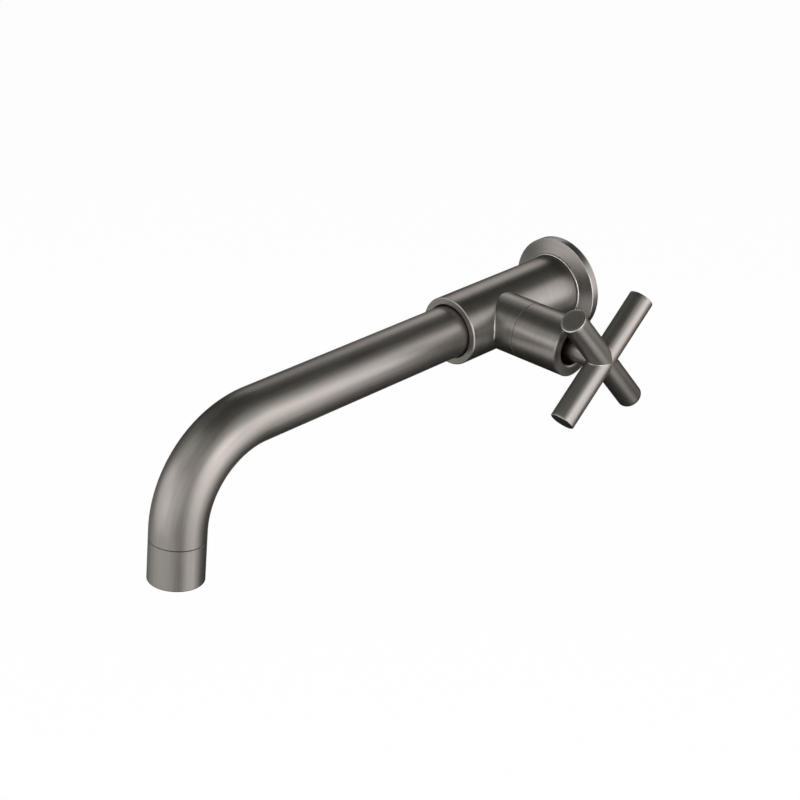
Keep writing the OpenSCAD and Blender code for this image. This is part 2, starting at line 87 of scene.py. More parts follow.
# %% [markdown]
# ## From a grid of points to a mesh
# Every new piece is one or more patches. A patch is a grid of points, rows by columns,
# that a formula gives as one whole array. Neighbouring patches share their edge points,
# so welding them closes the seams, and rows that shrink to one point close the poles.
# A skin of subdivision surfaces could do this too, but a formula keeps real sizes exact.
# Sizes are written in millimetres, and become metres when the mesh is made.

# %% Weld patches into one closed mesh
MM = 0.001
WELD, SHARP = 0.002 * MM, 35


def grid_faces(rows, columns, start=0):
    """The faces of a grid of points: (i, j), (i, j+1), (i+1, j+1), (i+1, j) are one."""
    index = start + np.arange(rows * columns).reshape(rows, columns)
    return np.stack([index[:-1, :-1], index[:-1, 1:], index[1:, 1:], index[1:, :-1]],
                    -1).reshape(-1, 4)


def give_layer(mesh, name, values):
    """Gives every point of a mesh a vector or a number that materials read by name."""
    kind, key = ("FLOAT_VECTOR", "vector") if values.ndim == 2 else ("FLOAT", "value")
    layer = mesh.attributes.new(name, kind, "POINT")
    layer.data.foreach_set(key, values.astype(np.float32).ravel())


def piece(name, patches, body, layers=None, sharp=SHARP):
    """Makes an object from patches of points in millimetres (rows x columns x 3).

    layers gives a value for each point of each patch. Edges that turn by more than
    sharp degrees are shaded as corners.
    """
    faces, start = [], 0
    for patch in patches:
        faces.append(grid_faces(*patch.shape[:2], start))
        start += patch[..., 0].size
    points = np.concatenate([patch.reshape(-1, 3) for patch in patches]) * MM
    mesh = bpy.data.meshes.new(name)
    mesh.from_pydata(points.tolist(), [], np.concatenate(faces).tolist())
    for layer_name, parts in (layers or {}).items():
        give_layer(mesh, layer_name, np.concatenate(
            [part.reshape(-1, 3) if part.ndim == 3 else part.ravel() for part in parts]))
    work = bmesh.new()
    work.from_mesh(mesh)
    bmesh.ops.remove_doubles(work, verts=work.verts, dist=WELD)
    bmesh.ops.recalc_face_normals(work, faces=work.faces)
    open_edges = sum(len(edge.link_faces) != 2 for edge in work.edges)
    work.to_mesh(mesh)
    work.free()
    mesh.shade_smooth()
    mesh.set_sharp_from_angle(angle=math.radians(sharp))
    made = put(name, mesh)
    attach(made, body)
    print(name, "has", len(mesh.polygons), "faces and", open_edges, "open edges")
    return made


# %% [markdown]
# ## Spout
# The spout is a drawn brass tube of 25.4 mm, bent on a mandrel and then brushed along
# its length. A curve with a bevel would give the tube, but not its wall, nor a streak
# pattern that runs round the bend with it. So a ring is carried along the tube's path.
# Each point also keeps where it would lie on a straight tube, for the streaks, and the
# direction round the tube, for the stretched shine of brushed metal.

# %% A ring carried along the spout's path
spout_r, spout_bore_r = 12.7, 11.2
tube_start, bend_start, bend_r, bend_turn = 71.0, 201.5, 45.0, math.radians(83)
tail_len, seam = 4.0, 0.25
bend_len = bend_r * bend_turn
spout_end = bend_start + bend_len + tail_len


def circle(columns):
    """Angles of a closed ring, with the first one again at the end."""
    return np.linspace(0, 2 * np.pi, columns + 1)


def carried_ring(run, radius, around):
    """A ring carried along the spout's path: its points, the same points on a straight
    tube in metres, and the direction round the tube at each.

    run is the length from the wall: straight, then an arc that turns down, then straight
    again. The ring lies across the path, at the given radius and angle around it.
    """
    run, radius, around = np.broadcast_arrays(run[:, None], radius[:, None], around[None, :])
    bent = np.clip((run - bend_start) / bend_r, 0, bend_turn)
    tail = np.clip(run - bend_start - bend_len, 0, None)
    straight = np.minimum(run, bend_start)
    y = -straight - bend_r * np.sin(bent) - tail * np.cos(bent)
    z = -bend_r * (1 - np.cos(bent)) - tail * np.sin(bent)
    side, rise = radius * np.cos(around), radius * np.sin(around)
    points = np.stack([side, y - rise * np.sin(bent), z + rise * np.cos(bent)], -1)
    round_it = np.stack([-np.sin(around), -np.cos(around) * np.sin(bent),
                         np.cos(around) * np.cos(bent)], -1)
    return points, np.stack([side, rise, run], -1) * MM, round_it


print("the spout's path is", round(spout_end, 1), "mm long from the wall")

# %% [markdown]
# The tube is four patches: its outside, its bore, and the flat rings at both ends. The
# bend has a row of points for each degree. The free end has a tiny chamfer, which is
# half of the fine V-shaped seam between the spout and the collar that follows it.

# %% Spout tube with its wall
runs = np.concatenate([np.linspace(tube_start, bend_start, 40),
                       np.linspace(bend_start, bend_start + bend_len, 84)[1:],
                       [spout_end - seam, spout_end]])
outer_r = np.full(runs.size, spout_r)
outer_r[-1] -= seam
ring = circle(128)
walls = [carried_ring(runs, outer_r, ring),
         carried_ring(runs, np.full(runs.size, spout_bore_r), ring)]
for end, edge_r in ((tube_start, spout_r), (spout_end, spout_r - seam)):
    walls.append(carried_ring(np.full(4, end), np.linspace(edge_r, spout_bore_r, 4), ring))
points, straight, round_it = zip(*walls)
spout = piece("spout", points, "tap", {"straight": straight, "round_it": round_it})
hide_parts("spout_tube", "outlet_ring")

# %% [markdown]
# ## Cross handle
# The handle is turned from brass bar: four equal arms whose round surfaces run into each
# other along mitre lines, and a neck with a splined bore. Joining cylinders by Boolean
# leaves knife-sharp mitres. On the real handle polishing has softened them, so each arm
# is a surface of its own that starts on a small arc, which both arms at a mitre share.
# The points on its rounded edges are marked for a painted highlight: a lighter colour, with a
# smoother gloss.

# %% Arms of the cross
branch_y, cross_x = -52.5, 71.0
arm_r, arm_len, arm_round, mitre_round = 6.0, 35.0, 0.5, 0.35
first_arm = math.radians(50)
# The mitre rows and the end's rim rows get a painted highlight of these strengths.
mitre_rows, mitre_highlight = slice(0, 4), 0.7
rim_rows, rim_highlight = slice(-9, -5), 1.0


def arm(direction, across):
    """One arm, as rows from the mitre to the end face and columns around it.

    Round the arm at angle a, a point lies arm_r sin(a) along X and w = arm_r cos(a)
    across. In a plane of constant X two arms meet in a square corner at (w, w), so an
    arc of radius f = mitre_round cos(a) with its centre at (w + f, w + f) rounds it.
    """
    a = circle(128)
    w, sign = arm_r * np.abs(np.cos(a)), np.sign(np.cos(a))
    f = mitre_round * np.abs(np.cos(a))
    lift = arm_r * np.sin(a)
    rows = []
    for bend in np.linspace(np.pi / 4, np.pi / 2, 6):
        rows.append((w + f * (1 - np.cos(bend)), sign * (w + f * (1 - np.sin(bend))), lift))
    for share in np.linspace(0, 1, 20)[1:]:
        run = (w + f) * (1 - share) + (arm_len - arm_round) * share
        rows.append((run, sign * w, lift))
    for bend in np.linspace(0, np.pi / 2, 6)[1:]:
        shrink = 1 - arm_round * (1 - np.cos(bend)) / arm_r
        rows.append((np.full_like(a, arm_len - arm_round * (1 - np.sin(bend))),
                     sign * w * shrink, lift * shrink))
    for shrink in np.linspace(1 - arm_round / arm_r, 0, 6)[1:]:
        rows.append((np.full_like(a, arm_len), sign * w * shrink, lift * shrink))
    run, aside, lift = (np.array([row[k] for row in rows]) for k in range(3))
    outwards = np.array([1.0, 0, 0])
    points = (run[..., None] * direction + aside[..., None] * across
              + lift[..., None] * outwards + [cross_x, branch_y, 0])
    round_it = np.sin(a)[:, None] * -across + np.cos(a)[:, None] * outwards
    painted_highlight = np.zeros(run.shape)
    painted_highlight[mitre_rows], painted_highlight[rim_rows] = mitre_highlight, rim_highlight
    return (points, np.stack([aside, lift, run], -1) * MM,
            np.broadcast_to(round_it, points.shape), painted_highlight)


directions = [np.array([0, -math.cos(first_arm + quarter), math.sin(first_arm + quarter)])
              for quarter in np.arange(4) * math.pi / 2]
arms = [arm(directions[k], directions[(k + 1) % 4]) for k in range(4)]
print("each arm is a grid of", arms[0][0].shape[:2], "points")

# %% [markdown]
# The neck is a short tube whose front end runs a little way into the arms, so it ends
# where their surfaces are. Its bore has the splines that the spindle drives, cut by a
# broach. A tooth's flanks begin and end at spline_places, as shares of the pitch. The
# neck is one closed surface: from the bottom of the bore out to the rear face, round its
# edge, along the outside and shut by a lid that the arms hide.

# %% Neck with its splined bore
neck_r, neck_back, neck_round, neck_sunk = 5.75, 44.45, 0.25, 0.6
spline_r, spline_deep, spline_count, socket_end = 3.95, 0.4, 20, 62.8
spline_places = np.array([0.05, 0.25, 0.55, 0.75])

tooth = (np.arange(spline_count)[:, None] + spline_places).ravel()
neck_a = np.append(tooth, tooth[0] + spline_count) * 2 * np.pi / spline_count
spline = spline_r - spline_deep * np.array([1, 0, 0, 1])
bore_r = np.append(np.tile(spline, spline_count), spline[0])


def neck_ring(x, radius):
    """A ring about the branch's axis, with columns where the splines have corners.

    The angle is counted from the first arm, and the point lies radius away from the
    axis. x and radius may differ at each angle.
    """
    x, radius, a = np.broadcast_arrays(x, radius, neck_a)
    return np.stack([x, branch_y - radius * np.cos(a + first_arm),
                     radius * np.sin(a + first_arm)], -1)


def rows_through(start, *stops):
    """Rows of (place, radius) from a start, straight to one stop after another.

    A stop is (place, radius, how many rows lead to it), and a radius may be a whole ring.
    """
    rows = [start]
    for *stop, steps in stops:
        rows += [[a + (b - a) * share for a, b in zip(rows[-1], stop)]
                 for share in np.linspace(0, 1, steps + 1)[1:]]
    return rows


nearest = neck_r * np.minimum(np.abs(np.cos(neck_a)), np.abs(np.sin(neck_a)))
meet_x = cross_x - np.sqrt(arm_r ** 2 - nearest ** 2) + neck_sunk
bore = rows_through((socket_end, 0 * bore_r), (socket_end, bore_r, 3),
                    (neck_back, bore_r, 19), (neck_back, neck_r - neck_round, 3))
rounding = [(neck_back + neck_round * (1 - math.sin(b)), neck_r - neck_round * (1 - math.cos(b)))
            for b in np.linspace(np.pi / 2, 0, 5)]
flank = rows_through(rounding[-1], (meet_x, neck_r, 23), (meet_x.mean(), 0, 3))
neck = piece("neck", [np.array([neck_ring(*row) for row in bore + rounding[1:] + flank[1:]])],
             "handle")

# %% [markdown]
# A small screw clamps the neck on the spindle. Its hole goes in from below, through one
# wall of the neck. Leaving a hole in the grid would give it a ragged edge, so it is cut
# with a Boolean, as a drill cuts it. The cut adds points, so the places and directions
# that the finish reads are worked out on the drilled neck.

# %% Drill the hole for the clamping screw
screw_x, screw_hole_r, drill_len = 59.5, 2.05, 10.0

drill = bmesh.new()
bmesh.ops.create_cone(drill, cap_ends=True, segments=48, radius1=screw_hole_r * MM,
                      radius2=screw_hole_r * MM, depth=drill_len * MM,
                      matrix=Matrix.Translation(
                          Vector((screw_x, branch_y, -drill_len / 2)) * MM))
drill_mesh = bpy.data.meshes.new("drill")
drill.to_mesh(drill_mesh)
drill.free()
drill_tool = put("drill", drill_mesh)
cut = neck.modifiers.new("screw hole", "BOOLEAN")
cut.operation, cut.solver, cut.object = "DIFFERENCE", "EXACT", drill_tool
drilled = bpy.data.meshes.new_from_object(neck.evaluated_get(
    bpy.context.evaluated_depsgraph_get()))
for used in (drill_tool, neck):
    bpy.data.objects.remove(used)

spots = np.empty(3 * len(drilled.vertices), np.float32)
drilled.vertices.foreach_get("co", spots)
offset = spots.reshape(-1, 3) - np.array([0, branch_y * MM, 0])
give_layer(drilled, "straight", np.stack([offset[:, 1], offset[:, 2], offset[:, 0]], -1))
give_layer(drilled, "round_it",
           np.stack([0 * offset[:, 0], -offset[:, 2], offset[:, 1]], -1) / MM)
print("the drilled neck has", len(drilled.polygons), "faces")

# %% [markdown]
# Arms and neck are one piece of brass, so they become one mesh. The neck keeps its own
# closed skin and ends inside the arms. A Boolean union would clean up the inside too,
# but it would break the arms' even grid, and with it the smooth shading.

# %% Arms and neck as one handle
points, straight, round_it, painted_highlight = zip(*arms)
handle = piece("handle", points, "handle",
               {"straight": straight, "round_it": round_it, "painted_highlight": painted_highlight})
whole = bmesh.new()
whole.from_mesh(handle.data)
whole.from_mesh(drilled)
whole.to_mesh(handle.data)
whole.free()
handle.data.set_sharp_from_angle(angle=math.radians(SHARP))
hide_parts("cross_handle")
print("handle with its neck has", len(handle.data.polygons), "faces")

# %% [markdown]
# ## Rounded corners of a profile
# A turned piece is a profile, a closed line, carried round an axis. The lathe and the polishing
# break its corners. A bevel modifier could round them on the mesh, but then each corner would
# need to be picked out again. So a corner of the profile brings its own radius, 0 for a sharp
# one, and how strong a painted highlight its edge gets.

# %% Round the corners of a profile
def rounded(corners, steps=6):
    """A closed profile with its corners rounded: rows of (r, y, painted highlight).

    Each corner is (r, y, radius, painted highlight). Its arc starts and ends at radius /
    tan(half the corner's angle) from the corner, along the two sides, and lies about a centre on
    the line that halves the angle.
    """
    rows = []
    for k, (r, y, radius, painted_highlight) in enumerate(corners):
        at = np.array([r, y])
        before = np.array(corners[k - 1][:2]) - at
        after = np.array(corners[(k + 1) % len(corners)][:2]) - at
        before, after = before / np.hypot(*before), after / np.hypot(*after)
        if radius == 0:
            rows.append(np.array([[r, y, 0]]))
            continue
        half = np.arccos(np.clip(before @ after, -1, 1)) / 2
        middle = (before + after) / np.hypot(*(before + after))
        centre = at + middle * radius / math.sin(half)
        ends = [at + side * radius / math.tan(half) - centre for side in (before, after)]
        opening = math.pi - 2 * half
        share = np.linspace(0, 1, steps + 1)[:, None]
        arc = centre + (np.sin((1 - share) * opening) * ends[0]
                        + np.sin(share * opening) * ends[1]) / math.sin(opening)
        rows.append(np.hstack([arc, (share % 1 > 0) * painted_highlight]))
    rows.append(rows[0][:1])
    return np.concatenate(rows)


# %% [markdown]
# ## Wall flange
# The flange is turned: a rim with a rounded edge, a shallow cone, and a raised lip that
# fits round the barrel. The rounded edges are what shows it is metal, because each one
# catches the light as a thin bright line. So it is a profile turned round the barrel's
# axis, with every visible edge an arc of a few points. Behind, it is hollow for its foam
# ring, and its bore has the groove of a rubber ring.

# %% Wall flange as a turned profile
flange_r, rim_h, front_h, lip_r, step_h = 25.0, 4.0, 6.5, 17.8, 0.7
flange_bore_r, groove_r, rear_r, plate_h = 16.85, 18.2, 23.5, 2.0
lip_round, rim_round, burr_round, groove_half = 0.6, 0.35, 0.1, 0.9
# The last number of each corner is how strong a painted highlight its edge gets.
profile = rounded([
    (flange_bore_r, front_h, 0.12, 0), (lip_r, front_h, lip_round, 1),
    (lip_r, front_h - step_h, 0, 0), (flange_r, rim_h, rim_round, 1),
    (flange_r, 0, burr_round, 0),
    (rear_r, 0, 0, 0), (rear_r, plate_h, 0, 0), (flange_bore_r, plate_h, 0, 0),
    (flange_bore_r, rim_h - groove_half, 0, 0), (groove_r, rim_h - groove_half, 0, 0),
    (groove_r, rim_h + groove_half, 0, 0), (flange_bore_r, rim_h + groove_half, 0, 0)])
ring = circle(160)
turned_r, turned_y, turned_highlight = (column[:, None] + 0 * ring for column in profile.T)
flange = piece("flange", [np.stack([turned_r * np.cos(ring), -turned_y,
                                    turned_r * np.sin(ring)], -1)], "tap",
               {"painted_highlight": [turned_highlight]}, sharp=50)
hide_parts("wall_flange")

# %% [markdown]
# ## Blend between barrel and branch
# The body is one casting, and its inside corner, where the branch leaves the barrel, is
# slightly rounded: it shows as a fine bright line. The CAD solid has a sharp corner. The
# surface here is the one that a small ball leaves when it rolls round the corner and
# touches both cylinders. It sinks a hair into them, so no slit shows at its edges, and
# one more row, tucked away inside the metal, closes it.

# %% Rolling-ball blend
barrel_r, branch_r, ball_r, sink = 16.75, 14.0, 0.7, 0.01
tuck_share, tuck_x = 0.5, 0.3
# The middle rows of the blend get a painted highlight.
blend_highlight_rows = slice(2, 7)


def rolled_corner(around, share):
    """The ball's path, with rows across the blend and columns around the branch.

    The ball's centre is ball_r outside both cylinders. It touches each on the line from
    its centre to that cylinder's axis, and the surface is the arc between the two.
    """
    y = (branch_r + ball_r - sink) * np.cos(around)
    z = (branch_r + ball_r - sink) * np.sin(around)
    x = np.sqrt((barrel_r + ball_r - sink) ** 2 - z ** 2)
    centre = np.stack([x, y, z], -1)
    to_branch = -np.stack([0 * x, np.cos(around), np.sin(around)], -1)
    to_barrel = -np.stack([x, 0 * x, z], -1) / np.hypot(x, z)[:, None]
    angle = np.arccos(np.sum(to_branch * to_barrel, -1))[None, :, None]
    share = share[:, None, None]
    arc = np.sin((1 - share) * angle) * to_branch + np.sin(share * angle) * to_barrel
    return centre + ball_r * arc / np.sin(angle) + [0, branch_y, 0]


ring = circle(144)
blend_rows = rolled_corner(ring, np.linspace(0, 1, 9))
middle = blend_rows.mean(0)
inner = middle - tuck_share * (blend_rows[len(blend_rows) // 2] - middle) - [tuck_x, 0, 0]
blend_highlight = np.zeros((len(blend_rows) + 2, ring.size))
blend_highlight[blend_highlight_rows] = 1
corner = piece("body_blend", [np.concatenate([blend_rows, inner[None], blend_rows[:1]])], "tap",
               {"painted_highlight": [blend_highlight]})

# %% [markdown]
# ## Inlet thread
# The half-inch pipe thread has a pitch of 1.814 mm and a rounded 55-degree profile. The
# CAD model shows it as a plain cylinder. A thread could be swept along a helix, but it is
# simpler to shape a turned bar: its radius at each angle and depth depends only on how
# far that point is from the crest of the helix.

# %% Radius of the threaded bar
thread_r, thread_deep, pitch, steepness = 10.4775, 1.162, 1.814, 1.4
nipple_front, nipple_rear, thread_chamfer = -17.2, 11.5, 1.3
relief_r, relief_near, relief_far, relief_slope = 9.2975, -2.2, -4.2, 0.4


def thread_surface(y, a):
    """Radius of the threaded bar at each place y along it and angle a around it.

    The distance to the crest, in turns, is y / pitch + a / 2 pi. The profile is a sine
    with steeper flanks. A 45-degree chamfer at each end and a relief groove with sloping
    sides, where the threading tool runs out, cut it back.
    """
    phase = 2 * np.pi * (y[:, None] / pitch + a[None, :] / (2 * np.pi))
    wave = np.tanh(steepness * np.cos(phase)) / np.tanh(steepness)
    radius = thread_r - thread_deep * (0.5 - 0.5 * wave)
    from_end = np.minimum(nipple_rear - y, y - nipple_front)
    chamfer_r = thread_r + np.clip(from_end, 0, 2) - thread_chamfer
    in_relief = np.minimum(relief_near - y, y - relief_far)
    groove_share = np.clip(in_relief / relief_slope + 1, 0, 1)
    limit = np.minimum(chamfer_r, thread_r - (thread_r - relief_r) * groove_share)
    return np.minimum(radius, limit[:, None])


print("the nipple has", round((nipple_rear - nipple_front) / pitch, 1), "turns of thread")

# %% [markdown]
# The nipple is screwed in from behind with a hexagon key, so its rear end has a hexagon
# socket, and a round way for the water runs on from it. Outside and inside are one
# closed surface again: along the thread, round the front edge, and back through.

# %% Inlet nipple with its thread
key_af, key_end, way_r = 12.0, 3.5, 6.5

ring = circle(96)
y = np.linspace(nipple_rear, nipple_front, 280)
bar_r = thread_surface(y, ring)
hexagon_r = key_af / 2 / np.cos((ring + np.pi / 6) % (np.pi / 3) - np.pi / 6)
bore = rows_through((nipple_front, bar_r[-1]), (nipple_front, way_r, 3),
                    (key_end, way_r, 11), (key_end, hexagon_r, 2),
                    (nipple_rear, hexagon_r, 5), (nipple_rear, bar_r[0], 2))
all_y = np.concatenate([y, [row[0] for row in bore[1:]]])
all_r = np.concatenate([bar_r, [row[1] + 0 * ring for row in bore[1:]]])
nipple = piece("threaded_nipple", [np.stack(
    [all_r * np.cos(ring), np.broadcast_to(all_y[:, None], all_r.shape),
     all_r * np.sin(ring)], -1)], "tap", sharp=45)
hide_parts("inlet_nipple")

# %% [markdown]
# ## Colours and nodes
# Colours are written as sRGB hex codes, as a colour picker shows them, and turned to the
# linear values that the shader works in. One small function adds a node, sets it and
# links it, so each material below reads as a list of its nodes. A Mix node has a pair of
# sockets and an output for each kind of value: 2 and 3 with output 0 are for numbers,
# 4 and 5 with output 1 for vectors, and 6 and 7 with output 2 for colours. In Math and
# VectorMath nodes, 0, 1 and 2 are the operands in their order.

# %% Helpers for materials
def linear(code, alpha=1.0):
    """The linear colour of an sRGB hex code."""
    part = np.array([int(code[k:k + 2], 16) for k in (1, 3, 5)]) / 255
    part = np.where(part <= 0.04045, part / 12.92, ((part + 0.055) / 1.055) ** 2.4)
    return (*part.tolist(), alpha)


def add(tree, kind, inputs=None, **settings):
    """Adds a node. inputs gives each socket a value, an output or a node's first output."""
    node = tree.nodes.new("ShaderNode" + kind)
    for key, value in settings.items():
        setattr(node, key, value)
    for key, value in (inputs or {}).items():
        if isinstance(value, bpy.types.Node):
            value = value.outputs[0]
        if isinstance(value, bpy.types.NodeSocket):
            tree.links.new(value, node.inputs[key])
        else:
            node.inputs[key].default_value = value
    return node


def empty_tree(owner):
    """The node tree of a new material or world, with nothing in it yet."""
    owner.use_nodes = True
    owner.node_tree.nodes.clear()
    return owner.node_tree


print("the sRGB grey #808080 is", round(linear("#808080")[0], 3), "in linear light")

# %% [markdown]
# ## Brush lines
# The tap's outside is brushed with an abrasive belt of about 180 grit. Turned pieces have
# lines around them, and the tube and the arms have lines along them. A noise that is
# stretched along the lines draws them, and follows any axis. The real lines are 0.05 mm
# apart, too fine to show here, so they are drawn about 0.45 mm wide and faint.

# %% Brush lines along or around an axis
LINE, LINE_STRETCH, ROUND_STEPS = 0.45 * MM, 50, 2.5
BROAD_SCALE, BROAD_SHARE = 0.22, 0.4
BARREL = ((0, 1, 0), (0, 0, 0))
BRANCH = ((1, 0, 0), (0, branch_y * MM, 0))


def brush_lines(tree, place, axis, centre, lengthwise):
    """Line pattern near 0.5 about an axis through centre, and the direction round it.

    A point's place is split into its run along the axis and the rest across it. Lines
    along the axis stretch the noise LINE_STRETCH times in run. Lines round it sample the
    noise by run plus distance from the axis, and only a few steps for the way round.
    Broader lines of the same kind are mixed in.
    """
    offset = add(tree, "VectorMath", {0: place, 1: centre}, operation="SUBTRACT")
    run = add(tree, "VectorMath", {0: offset, 1: axis},
              operation="DOT_PRODUCT").outputs["Value"]
    run_part = add(tree, "VectorMath", {0: axis, "Scale": run}, operation="SCALE")
    across = add(tree, "VectorMath", {0: offset, 1: run_part}, operation="SUBTRACT")
    if lengthwise:
        part_1 = add(tree, "VectorMath", {0: run_part, "Scale": 1 / (LINE_STRETCH * LINE)},
                     operation="SCALE")
        part_2 = add(tree, "VectorMath", {0: across, "Scale": 1 / LINE}, operation="SCALE")
    else:
        from_axis = add(tree, "VectorMath", {0: across}, operation="LENGTH").outputs["Value"]
        ring_at = add(tree, "Math", {0: run, 1: from_axis}, operation="ADD")
        steps = add(tree, "Math", {0: ring_at, 1: 1 / LINE}, operation="MULTIPLY")
        way = add(tree, "VectorMath", {0: across}, operation="NORMALIZE")
        part_1 = add(tree, "VectorMath", {0: axis, "Scale": steps}, operation="SCALE")
        part_2 = add(tree, "VectorMath", {0: way, "Scale": ROUND_STEPS}, operation="SCALE")
    source = add(tree, "VectorMath", {0: part_1, 1: part_2}, operation="ADD")
    fine = add(tree, "TexNoise", {"Vector": source, "Scale": 1.0, "Detail": 3.0})
    broad = add(tree, "TexNoise", {"Vector": source, "Scale": BROAD_SCALE, "Detail": 1.0})
    both = add(tree, "Mix", {"Factor": BROAD_SHARE, 2: fine, 3: broad})
    round_it = add(tree, "VectorMath", {0: axis, 1: offset}, operation="CROSS_PRODUCT")
    return both, round_it


print("brush lines are drawn", LINE / MM, "mm wide")

# %% [markdown]
# ## Painted shade in seams and painted highlight on edges
# Three hair-fine seams show where pieces meet, dark because hardly any light gets in. At this
# size a V groove alone would blur away, so that shade is painted into the colour there as well.
# Edges that stick out get a painted highlight, a lighter colour with a smoother gloss, which
# stands for the thin bright lines that rounded edges catch. The pieces made above carry a layer
# for that. The body keeps its CAD mesh, so its material finds the front edge by itself: the
# points that lie both near the front and near the outside of the barrel. The body also has lines
# about two axes, and the distance from the barrel's axis says which apply.

# %% Seams with painted shade, and the body's second axis and painted edge highlight
# The barrel's front edge gets a painted highlight: front_round says how wide, the value after it
# how strong.
barrel_front, front_round, front_highlight, branch_clear = -80.5, 0.6, 0.6, 0.3


def painted_seam_shade(tree, source, axis, centre, at):
    """How much painted shade a point gets: 1 in the seam at a run along an axis, 0 beside it.

    The run is the distance along the axis, and the shade falls evenly with the distance
    to the seam, to nothing at the far side of the small chamfer.
    """
    offset = add(tree, "VectorMath", {0: source, 1: centre}, operation="SUBTRACT")
    run = add(tree, "VectorMath", {0: offset, 1: axis}, operation="DOT_PRODUCT")
    off = add(tree, "Math", {0: run.outputs["Value"], 1: at * MM}, operation="SUBTRACT")
    off = add(tree, "Math", {0: off}, operation="ABSOLUTE")
    return add(tree, "MapRange", {"Value": off, "From Max": seam * MM, "To Min": 1.0,
                                  "To Max": 0.0})


def body_lines_and_highlight(tree, source, lines, round_it, painted_highlight):
    """Lines about the branch outside the barrel, and a painted highlight on the barrel's front
    edge.

    The edge is the product of two ramps, one with the distance from the barrel's axis
    and one with the distance to its front. Each goes from 0 at front_round from the
    corner to 1 at half of that.
    """
    branch_lines, branch_round = brush_lines(tree, source, *BRANCH, lengthwise=False)
    flat = add(tree, "VectorMath", {0: source, 1: (1, 0, 1)}, operation="MULTIPLY")
    out = add(tree, "VectorMath", {0: flat}, operation="LENGTH").outputs["Value"]
    outside = add(tree, "Math", {0: out, 1: (barrel_r + branch_clear) * MM},
                  operation="GREATER_THAN")
    lines = add(tree, "Mix", {"Factor": outside, 2: lines, 3: branch_lines})
    round_it = add(tree, "Mix", {"Factor": outside, 4: round_it, 5: branch_round},
                   data_type="VECTOR")
    outer = add(tree, "MapRange", {"Value": out, "From Min": (barrel_r - front_round) * MM,
                                   "From Max": (barrel_r - front_round / 2) * MM})
    along = add(tree, "SeparateXYZ", {0: source}).outputs["Y"]
    near = add(tree, "MapRange", {"Value": along,
                                  "From Min": (barrel_front + front_round) * MM,
                                  "From Max": (barrel_front + front_round / 2) * MM})
    edge = add(tree, "Math", {0: outer, 1: near}, operation="MULTIPLY")
    painted_highlight = add(tree, "Math", {0: edge, 1: front_highlight, 2: painted_highlight}, operation="MULTIPLY_ADD")
    return lines, round_it.outputs[1], painted_highlight


# %% [markdown]
# ## Satin gunmetal
# The tap is brass with a gunmetal-grey PVD coat (a very thin, hard film), laid over the
# brushed brass, so it keeps the brush lines. They give the eye soft, stretched highlights
# with faint streaks. The coat itself is even. What changes over the surface is the depth
# of the lines, a little of the tone, and broad, faint clouds where the belt pressed
# harder. Brushed metal is rougher across its lines than along them, so it needs the
# anisotropic shine, with its tangent round the piece, and turned by a quarter where the
# lines run round as well. The film looks darker at a glancing angle, as COAT_RIM says.

# %% Satin gunmetal
COAT_DEEP, COAT_HIGH, COAT_CLOUD = "#9B9692", "#ADA8A3", "#A5A19E"
# The colour and roughness of the painted highlight on edges, and the colour of the painted shade
# in seams.
EDGE_HIGHLIGHT_PAINT, EDGE_HIGHLIGHT_ROUGH, SEAM_PAINTED_SHADE, COAT_RIM = "#EAE6E2", 0.24, "#1E1D1C", "#8C8C8C"
ROUGH_LOW, ROUGH_HIGH, STRETCH = 0.33, 0.39, 0.5
CLOUD, LINE_DEPTH = 14 * MM, 0.02 * MM
STRAIGHT_TUBE = ((0, 0, 1), (0, 0, 0))


